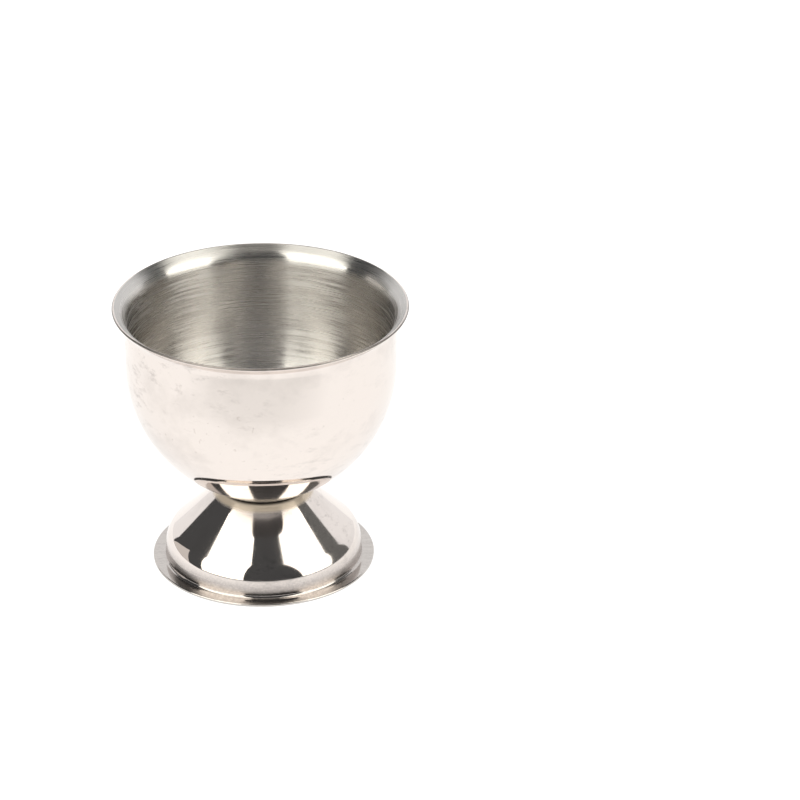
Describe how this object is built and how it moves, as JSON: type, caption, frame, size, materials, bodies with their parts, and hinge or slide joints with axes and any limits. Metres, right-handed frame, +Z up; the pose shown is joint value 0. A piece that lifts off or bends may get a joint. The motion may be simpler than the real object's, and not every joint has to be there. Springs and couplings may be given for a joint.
{
  "type": "footed egg cup",
  "caption": "Footed egg cup in polished sheet metal: a round bowl with a flared lip on a hollow conical foot, which holds one egg upright.",
  "frame": {"origin": "centre of the foot, on the plane that rests on the table", "axes": "+Z up along the cup's axis, from the foot to the lip; X and Y are alike, because the cup is round"},
  "size_m": [0.05, 0.05, 0.0479],
  "materials": {
    "bowl_steel": "mirror polished outside, circularly brushed inside",
    "foot_steel": "mirror polished outside, plain pressed sheet underneath",
    "weld_steel": "dull fused metal"
  },
  "bodies": {
    "root": {"bowl": "bowl_steel", "foot": "foot_steel", "spot_weld": "weld_steel"}
  },
  "joints": []
}
